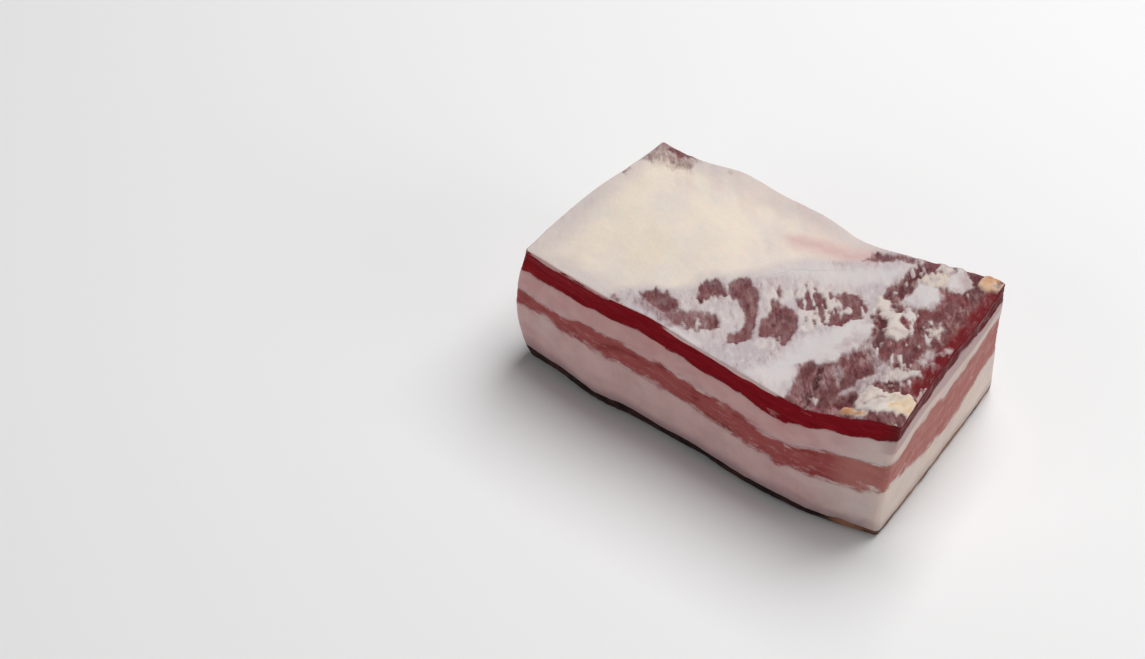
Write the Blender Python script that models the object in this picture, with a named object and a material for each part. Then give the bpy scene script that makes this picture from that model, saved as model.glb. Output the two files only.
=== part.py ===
"""A chunk of slab pancetta: pork belly cured flat, cut square and laid on its rind.

The chunk is five layers, each one a closed body with a hairline gap to the next:
lower_fat (back fat with the rind under it), lower_lean, upper_fat, upper_lean and
fat_cap, the cream fat that covers the back left of the upper lean.

A layer starts as a flat grid that is extruded straight up into a block. Every point of
the block has a place s along the chunk (0 left, 1 right), a place t across it (0 front,
1 back) and a height z. One form moves all points, so the layers share one outline.

Sizes below are millimetres from the front left corner of the rind: x to the right along
the long cut side, y to the back, z up. The finished part is in metres, with its origin
on the floor in the middle of its box.
"""
import bmesh
import bpy
from math import cos, exp, pi, sin
from mathutils import Vector

MM = 0.001

LENGTH = 105.6
WIDTH = 60.0
THICKNESS = 40.0
GAP = 0.3
CORNER_RADIUS = 2.6
BOX_MIDDLE = (51.19, 29.02)

# The plan: how far each side sways from the plain box of LENGTH by WIDTH, at evenly
# spaced stations. Front and back run from left to right, the ends from front to back.
FRONT_SWAY = (0.0, -1.6, -3.0, -2.5, -2.8, -3.7, -4.2, -2.6, 0.0)
BACK_FOOT_SWAY = (-2.5, 0.0, 1.0, 2.0, 2.5)
BACK_TOP_SWAY = (-6.6, -6.3, -3.9, -4.6, -4.6, -5.6, -3.3, -1.2, 0.2)
LEFT_FOOT_SWAY = (-0.6, 0.4, 1.5, 2.8, 4.0)
LEFT_TOP_SWAY = (-1.0, -1.0, 0.0, 2.2, 4.0)
RIGHT_FOOT_SWAY = (0.0, -0.1, -0.5, -1.0, -1.7)
RIGHT_TOP_SWAY = (2.0, 0.4, -0.7, -1.1, -2.4)

# How far the left end and the back belly out at mid height. The left end's belly fades
# towards the back, the back's right end is hollow, and both sag: a BELLY_SAG below 1
# brings the widest place below half height.
LEFT_BELLY = 4.6
LEFT_BELLY_FADES = 0.5
BACK_BELLY = 1.5
BACK_HOLLOW = 1.2
BELLY_SAG = 0.8

# The heights of each layer boundary along the four sides, at evenly spaced stations.
# Two sides that meet share the height of their corner.
LOWER_FAT_TOP = {
    "front": (18.5, 18.7, 18.9, 16.9, 16.9, 15.1, 14.5, 14.4, 17.5),
    "back": (17.5, 15.8, 15.0, 16.2, 17.0),
    "left": (18.5, 17.4, 16.6, 17.2, 17.5),
    "right": (17.5, 14.2, 12.0, 14.6, 17.0),
}
LOWER_LEAN_TOP = {
    "front": (23.0, 23.1, 25.6, 24.2, 24.7, 23.5, 21.9, 25.0, 26.5),
    "back": (24.5, 23.6, 22.8, 25.4, 30.0),
    "left": (23.0, 24.0, 24.6, 24.9, 24.5),
    "right": (26.5, 28.8, 26.4, 28.3, 30.0),
}
UPPER_FAT_TOP = {
    "front": (29.6, 31.2, 32.4, 32.5, 30.8, 30.5, 29.2, 33.0, 35.6),
    "back": (32.0, 31.2, 30.4, 31.5, 34.3),
    "left": (29.6, 30.4, 31.3, 32.0, 32.0),
    "right": (35.6, 35.6, 35.4, 34.7, 34.3),
}
CHUNK_TOP = {
    "front": (38.0, 38.5, 39.2, 39.0, 37.6, 37.6, 37.2, 38.9, 41.8),
    "back": (40.6, 40.0, 40.0, 39.0, 38.6, 37.0, 37.4, 38.8, 39.6),
    "left": (38.0, 38.4, 39.2, 39.8, 40.6),
    "right": (41.8, 40.8, 40.2, 40.0, 39.6),
}

# Swells and hollows of the top face: x, y, rise, reach along x, reach along y.
TOP_SWELLS = (
    (26.0, 32.0, 1.8, 22.0, 16.0),
    (98.0, 4.0, 1.2, 5.0, 4.5),
    (88.0, 32.0, 0.9, 5.0, 5.0),
    (88.5, 46.0, 0.8, 5.0, 5.0),
    (66.0, 30.0, -0.7, 8.0, 4.0),
    (52.0, 14.0, -0.6, 6.0, 5.0),
    (80.0, 20.0, 0.7, 4.0, 12.0),
    (84.0, 5.0, -1.0, 3.0, 7.0),
    (5.0, 53.0, 1.2, 2.5, 2.5),
)

# The fat cover: where its edge crosses the top, and how deep it sits in the lean.
CAP_EDGE_X = (27.0, 40.0, 50.5, 57.5, 75.0)
CAP_LIP = 0.7
CAP_DEPTH = 4.6
CAP_DEEPENS_OVER = 34.0
CAP_DEEPENS_BY = 0.7
CAP_SHOULDER = 0.3

# The rind is flat on the floor, and its rim lifts all round, in waves that calm towards
# the right: RIM_LEAST in a trough, and RIM_LIFT more on a crest.
RIM_LEAST = 0.6
RIM_LIFT = 0.8
RIM_WAVE = 22.3
RIM_FIRST_CREST = 12.0
RIM_WIDTH = 6.0
RIM_CALMS = 0.7

# Grid cells of a layer, along the chunk up to the fat cover's edge and past it, across
# the chunk, and up a layer's sides. Grid lines crowd at the round corners, at these parts
# of their radius.
CELLS_ALONG_CAP = 16
CELLS_ALONG_REST = 16
CELLS_ACROSS = 18
COURSES = {"lower_fat": 4, "lower_lean": 2, "upper_fat": 2, "upper_lean": 2, "fat_cap": 1}
CORNER_LINES = (0.0, 0.3, 0.65, 1.0)
SHARP_ANGLE = 0.6

COLOURS = {
    "lower_fat": (0.52, 0.42, 0.38),
    "lower_lean": (0.30, 0.10, 0.08),
    "upper_fat": (0.52, 0.40, 0.38),
    "upper_lean": (0.19, 0.035, 0.035),
    "fat_cap": (0.78, 0.69, 0.58),
}
ROUGHNESS = {
    "lower_fat": 0.42,
    "lower_lean": 0.38,
    "upper_fat": 0.42,
    "upper_lean": 0.30,
    "fat_cap": 0.50,
}


def smooth(u):
    """A step from 0 to 1 that starts and ends level."""
    u = min(max(u, 0.0), 1.0)
    return u * u * (3.0 - 2.0 * u)


def curve(values, u):
    """The smooth curve through evenly spaced values (Catmull-Rom), for u from 0 to 1."""
    last = len(values) - 1
    k = min(int(u * last), last - 1)
    f = u * last - k
    a, b, c, d = (values[min(max(k + step, 0), last)] for step in (-1, 0, 1, 2))
    square = (2.0 * a - 5.0 * b + 4.0 * c - d) * f * f
    cube = (3.0 * b - a - 3.0 * c + d) * f * f * f
    return 0.5 * (2.0 * b + (c - a) * f + square + cube)


def patch(sides, s, t):
    """The surface spanned between four side curves (a Coons patch)."""
    front, back = sides["front"], sides["back"]
    across = (1.0 - t) * curve(front, s) + t * curve(back, s)
    along = (1.0 - s) * curve(sides["left"], t) + s * curve(sides["right"], t)
    near = (1.0 - s) * front[0] + s * front[-1]
    far = (1.0 - s) * back[0] + s * back[-1]
    return across + along - (1.0 - t) * near - t * far


def chunk_top(s, t):
    """The top face of the whole chunk: its patch with the swells laid on it."""
    x, y = s * LENGTH, t * WIDTH
    z = patch(CHUNK_TOP, s, t)
    for swell_x, swell_y, rise, reach_x, reach_y in TOP_SWELLS:
        z += rise * exp(-((x - swell_x) / reach_x) ** 2 - ((y - swell_y) / reach_y) ** 2)
    return z


def rind_bottom(s, t):
    """The underside: flat on the floor, with a rim that lifts in waves."""
    x, y = s * LENGTH, t * WIDTH
    inset = min(x, LENGTH - x, y, WIDTH - y)
    if inset >= RIM_WIDTH:
        return 0.0
    wave = 0.5 + 0.5 * cos(2.0 * pi * (x + y - RIM_FIRST_CREST) / RIM_WAVE)
    lift = RIM_LEAST + RIM_LIFT * wave * (1.0 - RIM_CALMS * s)
    return lift * (1.0 - (inset / RIM_WIDTH) ** 2)


def cap_bottom(s, t):
    """The underside of the fat cover, deepest at the back left."""
    from_edge = curve(CAP_EDGE_X, t) - s * LENGTH
    deep = smooth(from_edge / CAP_DEEPENS_OVER) * smooth(t / CAP_DEEPENS_BY)
    return chunk_top(s, t) - CAP_LIP - (CAP_DEPTH - CAP_LIP) * deep


def place(s, t, z):
    """The point of the chunk at s, t and height z, in metres from the part's origin."""
    w = z / THICKNESS
    belly = sin(pi * min(max(w, 0.0), 1.0) ** BELLY_SAG)
    left = curve(LEFT_FOOT_SWAY, t) * (1.0 - w) + curve(LEFT_TOP_SWAY, t) * w
    left -= LEFT_BELLY * (1.0 - LEFT_BELLY_FADES * t) * belly
    right = curve(RIGHT_FOOT_SWAY, t) * (1.0 - w * w) + curve(RIGHT_TOP_SWAY, t) * w * w
    back = curve(BACK_FOOT_SWAY, s) * (1.0 - w) + curve(BACK_TOP_SWAY, s) * w
    back += (BACK_BELLY * (1.0 - s) - BACK_HOLLOW * s) * belly
    x = (1.0 - s) * left + s * (LENGTH + right)
    y = (1.0 - t) * curve(FRONT_SWAY, s) + t * (WIDTH + back)
    return Vector((x - BOX_MIDDLE[0], y - BOX_MIDDLE[1], z)) * MM


def round_corners(x, y):
    """Round the four upright corners: near one, the square grid is pressed into a disc."""
    from_side = min(x, LENGTH - x)
    from_face = min(y, WIDTH - y)
    if from_side >= CORNER_RADIUS or from_face >= CORNER_RADIUS:
        return x, y
    u = 1.0 - from_side / CORNER_RADIUS
    v = 1.0 - from_face / CORNER_RADIUS
    side = CORNER_RADIUS * (1.0 - u * (1.0 - v * v / 2.0) ** 0.5)
    face = CORNER_RADIUS * (1.0 - v * (1.0 - u * u / 2.0) ** 0.5)
    x = side if x < LENGTH / 2.0 else LENGTH - side
    y = face if y < WIDTH / 2.0 else WIDTH - face
    return x, y


def grid_lines(start, end, cells, fine_start, fine_end):
    """Places of the grid lines between two sides, with close ones for a round corner."""
    fine = [CORNER_RADIUS * part for part in CORNER_LINES]
    head = [start + d for d in fine] if fine_start else [start]
    tail = [end - d for d in reversed(fine)] if fine_end else [end]
    inner = cells - (len(head) - 1) - (len(tail) - 1)
    step = (tail[0] - head[-1]) / inner
    return head[:-1] + [head[-1] + step * k for k in range(inner)] + tail


def column_x(column, t):
    """The x of a grid column. The columns crowd to both sides of the fat cover's edge."""
    edge = curve(CAP_EDGE_X, t)
    if column <= CELLS_ALONG_CAP:
        return grid_lines(0.0, edge + GAP, CELLS_ALONG_CAP, True, False)[column]
    rest = grid_lines(edge + GAP + CAP_SHOULDER, LENGTH, CELLS_ALONG_REST - 1, False, True)
    return rest[column - CELLS_ALONG_CAP - 1]


def block(columns, rows, courses):
    """A closed block of grid cells: a flat grid extruded up, course by course."""
    bm = bmesh.new()
    bmesh.ops.create_grid(bm, x_segments=columns, y_segments=rows, size=1.0)
    sheet = bm.faces[:]
    for course in range(courses):
        grown = bmesh.ops.extrude_face_region(bm, geom=sheet, use_keep_orig=True)
        if course > 0:
            bmesh.ops.delete(bm, geom=sheet, context="FACES")
        sheet = [item for item in grown["geom"] if isinstance(item, bmesh.types.BMFace)]
        lifted = [item for item in grown["geom"] if isinstance(item, bmesh.types.BMVert)]
        bmesh.ops.translate(bm, verts=lifted, vec=(0.0, 0.0, 1.0))
    for vert in bm.verts:
        vert.co.x = round((vert.co.x + 1.0) / 2.0 * columns)
        vert.co.y = round((vert.co.y + 1.0) / 2.0 * rows)
    return bm


def material(name):
    made = bpy.data.materials.new(name)
    made.use_nodes = True
    shader = made.node_tree.nodes["Principled BSDF"]
    shader.inputs["Base Color"].default_value = (*COLOURS[name], 1.0)
    shader.inputs["Roughness"].default_value = ROUGHNESS[name]
    shader.inputs["Metallic"].default_value = 0.0
    return made


def layer(name, bottom, top, columns=CELLS_ALONG_CAP + CELLS_ALONG_REST):
    """One layer between two height functions of s and t, as an object of its own."""
    courses = COURSES[name]
    bm = block(columns, CELLS_ACROSS, courses)
    lines_y = grid_lines(0.0, WIDTH, CELLS_ACROSS, True, True)
    for vert in bm.verts:
        column, row, course = (int(part) for part in vert.co)
        y = lines_y[row]
        x = column_x(column, y / WIDTH)
        if columns == CELLS_ALONG_CAP and column == columns:
            x -= GAP
        x, y = round_corners(x, y)
        s, t = x / LENGTH, y / WIDTH
        low, high = bottom(s, t), top(s, t, column)
        vert.co = place(s, t, low + (high - low) * course / courses)
    bmesh.ops.recalc_face_normals(bm, faces=bm.faces)
    mesh = bpy.data.meshes.new(name)
    bm.to_mesh(mesh)
    bm.free()
    mesh.shade_smooth()
    mesh.set_sharp_from_angle(angle=SHARP_ANGLE)
    mesh.materials.append(material(name))
    made = bpy.data.objects.new(name, mesh)
    bpy.context.scene.collection.objects.link(made)
    return made


def over(sides):
    """The bottom of the layer that lies on a boundary, a gap above it."""
    return lambda s, t: patch(sides, s, t) + GAP


def under(sides):
    """The top of the layer that a boundary closes."""
    return lambda s, t, column: patch(sides, s, t)


def lean_top(s, t, column):
    """The top of the upper lean: the chunk's top, or the bed that the fat cover lies in."""
    if column <= CELLS_ALONG_CAP:
        return cap_bottom(s, t) - GAP
    return chunk_top(s, t)


def cap_top(s, t, column):
    """The top of the fat cover, level with the lean beside it."""
    return chunk_top(s, t)


def build():
    for old in list(bpy.data.objects):
        bpy.data.objects.remove(old, do_unlink=True)
    layer("lower_fat", rind_bottom, under(LOWER_FAT_TOP))
    layer("lower_lean", over(LOWER_FAT_TOP), under(LOWER_LEAN_TOP))
    layer("upper_fat", over(LOWER_LEAN_TOP), under(UPPER_FAT_TOP))
    layer("upper_lean", over(UPPER_FAT_TOP), lean_top)
    layer("fat_cap", cap_bottom, cap_top, CELLS_ALONG_CAP)


build()
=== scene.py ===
# %% [markdown]
# A chunk of slab pancetta, dressed piece by piece.
#
# The solids give the chunk's size and its layers: back fat on its rind, a streak of lean, a
# seam of fat, the dark upper lean and the cream fat cover. Here each layer gets the skin that
# shows: ragged borders, muscle fibres, waxy fat, a moist shine and the marbled top face.

import bpy
import numpy as np
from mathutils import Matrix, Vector


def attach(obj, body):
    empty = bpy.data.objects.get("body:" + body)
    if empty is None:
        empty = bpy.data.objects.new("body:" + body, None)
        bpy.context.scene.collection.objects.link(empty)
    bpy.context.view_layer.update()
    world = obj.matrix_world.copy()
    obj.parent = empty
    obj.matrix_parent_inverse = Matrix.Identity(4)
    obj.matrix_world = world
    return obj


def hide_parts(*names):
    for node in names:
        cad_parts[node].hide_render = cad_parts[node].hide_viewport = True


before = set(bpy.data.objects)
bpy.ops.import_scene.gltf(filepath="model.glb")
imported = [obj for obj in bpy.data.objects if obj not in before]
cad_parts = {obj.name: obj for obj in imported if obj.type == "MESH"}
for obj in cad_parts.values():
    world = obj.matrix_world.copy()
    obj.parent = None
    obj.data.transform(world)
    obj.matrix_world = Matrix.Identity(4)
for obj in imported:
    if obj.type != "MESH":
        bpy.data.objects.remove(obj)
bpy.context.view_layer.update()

# %% [markdown]
# The form of the chunk. It was cut roughly square, so its sides sway a little, its left end
# bellies out and its top is no flat board. One rule carries every point of every layer to
# its place, so that neighbours share one outline: a point has a place x along the chunk and
# y across it, both in millimetres of a plain box, and a height z. The sways of the four
# sides are smooth curves through a few measured stations.

# %% The plain box, and the sways of its sides
LENGTH, WIDTH, THICKNESS = 105.6, 60.0, 40.0
CORNER_RADIUS = 1.6
BOX_MIDDLE = (51.19, 29.02)
RIM_WIDTH, RIM_LIFT, RIM_WAVE, WAVE_LENGTH = 6.0, 0.6, 0.8, 22.3
FAR = 99.0
MM = 0.001

FRONT_SWAY = (0.0, -1.6, -3.0, -2.5, -2.8, -3.7, -4.2, -2.6, 0.0)
BACK_FOOT_SWAY = (-2.5, 0.0, 1.0, 2.0, 2.5)
BACK_TOP_SWAY = (-6.6, -6.3, -3.9, -4.6, -4.6, -5.6, -3.3, -1.2, 0.2)
LEFT_FOOT_SWAY = (-0.6, 0.4, 1.5, 2.8, 4.0)
LEFT_TOP_SWAY = (-1.0, -1.0, 0.0, 2.2, 4.0)
RIGHT_FOOT_SWAY = (0.0, -0.1, -0.5, -1.0, -1.7)
RIGHT_TOP_SWAY = (2.0, 0.4, -0.7, -1.1, -2.4)
LEFT_BELLY, LEFT_BELLY_FADES = 4.6, 0.5
BACK_BELLY, BACK_HOLLOW, BELLY_SAG = 1.5, 1.2, 0.8

LOWER_FAT_TOP = {
    "front": (18.5, 18.7, 18.9, 16.9, 16.9, 15.1, 14.5, 14.4, 17.5),
    "back": (17.5, 15.8, 15.0, 16.2, 17.0),
    "left": (18.5, 17.4, 16.6, 17.2, 17.5),
    "right": (17.5, 14.2, 12.0, 14.6, 17.0),
}
LOWER_LEAN_TOP = {
    "front": (23.0, 23.1, 25.6, 24.2, 24.7, 23.5, 21.9, 25.0, 26.5),
    "back": (24.5, 23.6, 22.8, 25.4, 30.0),
    "left": (23.0, 24.0, 24.6, 24.9, 24.5),
    "right": (26.5, 28.8, 26.4, 28.3, 30.0),
}
UPPER_FAT_TOP = {
    "front": (29.6, 31.2, 32.4, 32.5, 30.8, 30.5, 29.2, 33.0, 35.6),
    "back": (32.0, 31.2, 30.4, 31.5, 34.3),
    "left": (29.6, 30.4, 31.3, 32.0, 32.0),
    "right": (35.6, 35.6, 35.4, 34.7, 34.3),
}
CHUNK_TOP = {
    "front": (38.0, 38.5, 39.2, 39.0, 37.6, 37.6, 37.2, 38.9, 41.8),
    "back": (40.6, 40.0, 40.0, 39.0, 38.6, 37.0, 37.4, 38.8, 39.6),
    "left": (38.0, 38.4, 39.2, 39.8, 40.6),
    "right": (41.8, 40.8, 40.2, 40.0, 39.6),
}
# Swells and hollows of the top: x, y, rise, reach along, reach across.
TOP_SWELLS = (
    (26.0, 32.0, 1.8, 22.0, 16.0),
    (98.0, 4.0, 1.2, 5.0, 4.5),
    (88.0, 32.0, 0.9, 5.0, 5.0),
    (88.5, 46.0, 0.8, 5.0, 5.0),
    (66.0, 30.0, -0.7, 8.0, 4.0),
    (52.0, 14.0, -0.6, 6.0, 5.0),
    (80.0, 20.0, 0.7, 4.0, 12.0),
    (84.0, 5.0, -1.0, 3.0, 7.0),
    (5.0, 53.0, 1.2, 2.5, 2.5),
)


# %% Smooth steps, curves through stations, and the surface between four curves
def smooth(u):
    """0 below 0, 1 above 1, and between them three u squared less two u cubed."""
    u = np.clip(u, 0.0, 1.0)
    return u * u * (3.0 - 2.0 * u)


def curve(values, u):
    """The Catmull-Rom curve through evenly spaced values: a cubic between each two of them,
    whose slope at a value is half the step between that value's neighbours."""
    values = np.asarray(values, float)
    last = len(values) - 1
    u = np.clip(u, 0.0, 1.0)
    k = np.minimum((u * last).astype(int), last - 1)
    f = u * last - k
    a, b, c, d = (values[np.clip(k + step, 0, last)] for step in (-1, 0, 1, 2))
    square = (2.0 * a - 5.0 * b + 4.0 * c - d) * f * f
    cube = (3.0 * b - a - 3.0 * c + d) * f * f * f
    return 0.5 * (2.0 * b + (c - a) * f + square + cube)


def layer_height(sides, x, y):
    """The height of a boundary: a Coons patch. Its front and back curves are mixed by t, plus
    the left and right ones by s, less the flat twisted plane through the four corners, which
    both sums hold; s and t are the shares of the way along and across."""
    s, t = x / LENGTH, y / WIDTH
    front, back = sides["front"], sides["back"]
    across = (1.0 - t) * curve(front, s) + t * curve(back, s)
    along = (1.0 - s) * curve(sides["left"], t) + s * curve(sides["right"], t)
    near = (1.0 - s) * front[0] + s * front[-1]
    far = (1.0 - s) * back[0] + s * back[-1]
    return across + along - (1.0 - t) * near - t * far


def top_height(x, y):
    """The chunk's top: its patch, plus round swells that fall off as the bell curve does."""
    z = layer_height(CHUNK_TOP, x, y)
    for swell_x, swell_y, rise, reach_x, reach_y in TOP_SWELLS:
        z = z + rise * np.exp(-(((x - swell_x) / reach_x) ** 2) - ((y - swell_y) / reach_y) ** 2)
    return z


def from_sides(x, y):
    """How far a place of the plain box is from the nearest side."""
    return np.minimum(np.minimum(x, LENGTH - x), np.minimum(y, WIDTH - y))


def rind_bottom(x, y):
    """The underside: flat, and lifted within 6 mm of a side by a wave with x plus y, which
    grows weaker to the right."""
    inset = from_sides(x, y)
    wave = 0.5 + 0.5 * np.cos(2.0 * np.pi * (x + y - 12.0) / WAVE_LENGTH)
    lift = RIM_LIFT + RIM_WAVE * wave * (1.0 - 0.7 * x / LENGTH)
    return lift * np.clip(1.0 - (inset / RIM_WIDTH) ** 2, 0.0, 1.0) * (inset < RIM_WIDTH)


def round_corners(x, y):
    """Round upright corners: within a corner's square of side R, the point at shares u and v
    from its inner corner goes to u times the root of 1 - v v / 2, and v likewise."""
    from_side = np.minimum(x, LENGTH - x)
    from_face = np.minimum(y, WIDTH - y)
    near = (from_side < CORNER_RADIUS) & (from_face < CORNER_RADIUS)
    u = 1.0 - from_side / CORNER_RADIUS
    v = 1.0 - from_face / CORNER_RADIUS
    side = CORNER_RADIUS * (1.0 - u * np.sqrt(np.clip(1.0 - v * v / 2.0, 0.0, 1.0)))
    face = CORNER_RADIUS * (1.0 - v * np.sqrt(np.clip(1.0 - u * u / 2.0, 0.0, 1.0)))
    new_x = np.where(x < LENGTH / 2.0, side, LENGTH - side)
    new_y = np.where(y < WIDTH / 2.0, face, WIDTH - face)
    return np.where(near, new_x, x), np.where(near, new_y, y)


def place(x, y, z):
    """Where a point of the plain box lies, in millimetres from the chunk's own corner: the
    sides' sways at its height, mixed by how near it is to each side, and the bellies as a
    sine of the height."""
    s, t, w = x / LENGTH, y / WIDTH, z / THICKNESS
    belly = np.sin(np.pi * np.clip(w, 0.0, 1.0) ** BELLY_SAG)
    left = curve(LEFT_FOOT_SWAY, t) * (1.0 - w) + curve(LEFT_TOP_SWAY, t) * w
    left = left - LEFT_BELLY * (1.0 - LEFT_BELLY_FADES * t) * belly
    right = curve(RIGHT_FOOT_SWAY, t) * (1.0 - w * w) + curve(RIGHT_TOP_SWAY, t) * w * w
    back = curve(BACK_FOOT_SWAY, s) * (1.0 - w) + curve(BACK_TOP_SWAY, s) * w
    back = back + (BACK_BELLY * (1.0 - s) - BACK_HOLLOW * s) * belly
    px = (1.0 - s) * left + s * (LENGTH + right)
    py = (1.0 - t) * curve(FRONT_SWAY, s) + t * (WIDTH + back)
    return np.stack([px, py, z], axis=-1)


# %% [markdown]
# Meat is uneven at every size, so the borders and skins need noise: random numbers fixed to
# the points of a lattice and blended smoothly between them. The numbers come from whole
# number arithmetic on the lattice point, so they need no seed store and never change.

# %% Noise in space
def lattice(i, j, k, seed):
    """A fixed number from -1 to 1 for each lattice point: its three whole numbers are mixed
    by multiplying and shifting."""
    h = i * 374761393 + j * 668265263 + k * 2147483647 + seed * 974634777
    h = (h ^ (h >> 13)) * 1274126177
    h = (h ^ (h >> 16)) & 0xFFFFFF
    return h / 8388607.5 - 1.0


def noise(p, size, seed=0):
    """Value noise: the eight lattice numbers round a point, blended by smooth steps. Size is
    the lattice's spacing in millimetres, one number or one for each axis."""
    q = np.asarray(p, float) / np.asarray(size, float)
    cell = np.floor(q).astype(np.int64)
    f = q - cell
    f = f * f * (3.0 - 2.0 * f)
    total = 0.0
    for a in (0, 1):
        for b in (0, 1):
            for c in (0, 1):
                weight = (f[..., 0] if a else 1.0 - f[..., 0])
                weight = weight * (f[..., 1] if b else 1.0 - f[..., 1])
                weight = weight * (f[..., 2] if c else 1.0 - f[..., 2])
                total = total + weight * lattice(cell[..., 0] + a, cell[..., 1] + b, cell[..., 2] + c, seed)
    return total


def rough(p, size, octaves=3, seed=0):
    """Several noises summed, each half the size and half the height of the one before."""
    total, height = 0.0, 1.0
    for octave in range(octaves):
        total = total + height * noise(p, np.asarray(size, float) / 2.0**octave, seed + 17 * octave)
        height *= 0.5
    return total / (2.0 - 2.0 ** (1 - octaves))


print("noise from", *rough(np.random.default_rng(1).uniform(0, 50, (2000, 3)), 5.0).round(2)[[0, 1]])

# %% [markdown]
# A layer is one closed skin: a wall that runs once round the chunk, a sheet on top and a
# sheet below. The wall is a loop of columns times a stack of rows. Where a sheet shows, it is
# a fine grid whose rim is the wall's own last row, so there is no crack to close. Where it is
# hidden by the next layer, it is a few rings drawn in towards one middle point.

# %% The loop round the chunk, and meshes from arrays
ALONG, ACROSS = 340, 150
HIDDEN_RINGS = 3
FIRST_RING = 0.02


def loop_of(grid):
    """The rim of a grid of values, from the front left corner round to the right and back."""
    return np.concatenate([grid[:-1, 0], grid[-1, :-1], grid[:0:-1, -1], grid[0, :0:-1]])


def strip(lower, upper):
    """The four-sided faces between two closed loops of point numbers."""
    return np.stack([lower, np.roll(lower, -1), np.roll(upper, -1), upper], axis=-1)


def rings_inward(rim, points, base, rings, height, up):
    """Rings from a rim to one middle point: each point moves the same share of its way in,
    the first ring a small step and the later ones more. The height function puts the rings on
    their surface. Returns new points, their plan, the faces between rings and those at the
    middle."""
    middle = np.array([LENGTH / 2.0, WIDTH / 2.0])
    shares = FIRST_RING + (1.0 - FIRST_RING) * (np.arange(1, rings) / rings) ** 1.5
    plans = [points + (middle - points) * share for share in shares] + [middle[None]]
    made = [place(*plan.T, height(*plan.T)) for plan in plans]
    faces, last, count = [], rim, len(rim)
    for ring in range(rings - 1):
        here = np.arange(count) + base + count * ring
        faces.append(strip(last, here) if up else strip(here, last))
        last = here
    pole, onward = np.full(count, base + count * (rings - 1)), np.roll(last, -1)
    cone = np.stack([last, onward, pole] if up else [onward, last, pole], axis=-1)
    return np.concatenate(made), np.concatenate(plans), np.concatenate(faces), cone


def add_object(name, data):
    """A new object in the scene that shows a mesh, a light or a camera."""
    made = bpy.data.objects.new(name, data)
    bpy.context.scene.collection.objects.link(made)
    return made


def mesh_object(name, points, quads, triangles, hidden):
    """A mesh object from points in millimetres from the chunk's corner, moved to the origin
    under its middle and turned to metres. The faces marked hidden are flat, so that they
    don't bend the light on the wall they join."""
    mesh = bpy.data.meshes.new(name)
    where = (points - np.array([BOX_MIDDLE[0], BOX_MIDDLE[1], 0.0])) * MM
    corners = np.concatenate([quads.ravel(), triangles.ravel()]).astype(np.int32)
    sizes = np.concatenate([np.full(len(quads), 4), np.full(len(triangles), 3)]).astype(np.int32)
    mesh.vertices.add(len(where))
    mesh.vertices.foreach_set("co", where.astype(np.float32).ravel())
    mesh.loops.add(len(corners))
    mesh.loops.foreach_set("vertex_index", corners)
    mesh.polygons.add(len(sizes))
    mesh.polygons.foreach_set("loop_start", np.concatenate([[0], np.cumsum(sizes)[:-1]]).astype(np.int32))
    mesh.update(calc_edges=True)
    mesh.polygons.foreach_set("use_smooth", ~hidden)
    mesh.validate()
    return add_object(name, mesh)


def paint(piece, **fields):
    """Stores named numbers on the points of a piece, for its material to read."""
    for name, values in fields.items():
        attribute = piece.data.attributes.new(name, "FLOAT", "POINT")
        attribute.data.foreach_set("value", np.asarray(values, np.float32).ravel())


def outward(points):
    """Unit normals of a wall of rows and columns: along the loop crossed with up the wall."""
    along = np.roll(points, -1, axis=1) - np.roll(points, 1, axis=1)
    up = np.gradient(points, axis=0)
    normal = np.cross(along, up)
    return normal / np.maximum(np.linalg.norm(normal, axis=-1, keepdims=True), 1e-9)


even_columns = np.linspace(0.0, 1.0, ALONG + 1)
even_rows = np.linspace(0.0, 1.0, ACROSS + 1)
print("columns round the chunk:", 2 * (ALONG + ACROSS))

# %% [markdown]
# The borders between fat and lean. On the cut sides they are no clean lines: tongues of lean
# reach into the fat and fat into the lean, a few millimetres long and about one high. Each
# border is the solid's own border plus noise that is longer along the chunk than it is high,
# so that both layers that meet there share one ragged line.

# %% Ragged borders between the layers
SKIN_INSET = 0.28


def ragged(sides, x, y, height, seed):
    """A border's height: its patch plus noise of 7 mm lobes and of 2 mm tatters."""
    p = np.stack(round_corners(x, y) + (np.zeros_like(x),), axis=-1)
    lobes = rough(p, 7.0, 3, seed)
    tatters = rough(p, 2.0, 2, seed + 5)
    return layer_height(sides, x, y) + height * (0.8 * lobes + 0.3 * tatters)


def rind_top(x, y):
    """The rind is about 2.9 mm thick on the left and thinner to the right, with a ragged edge."""
    p = np.stack([x, y, np.zeros_like(x)], axis=-1)
    return rind_bottom(x, y) + 2.9 - 0.9 * smooth(x / 90.0) + 0.6 * rough(p, 6.0, 4, 3)


def lower_border(x, y):
    return ragged(LOWER_FAT_TOP, x, y, 0.7, 11)


def middle_border(x, y):
    return ragged(LOWER_LEAN_TOP, x, y, 0.8, 23)


def upper_border(x, y):
    return ragged(UPPER_FAT_TOP, x, y, 0.35, 37)


def dried(p, share):
    """What every cut layer's skin has: it starts 0.28 mm in, so that neighbours meet without
    a step, and waves slowly. Returns that and a fullness: 1 at the layer's middle height and 0
    at its borders, as a half circle."""
    return 0.10 * rough(p, 5.0, 3, 61) - SKIN_INSET, np.sqrt(np.clip(4.0 * share * (1.0 - share), 0.0, 1.0))


def fat_skin(p, along, share):
    """Fat: a little full, with a few small pits."""
    base, full = dried(p, share)
    pits = np.clip(rough(p, 1.3, 2, 71) - 0.35, 0.0, 1.0)
    return base + (0.06 - 0.2 * pits) * full


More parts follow.
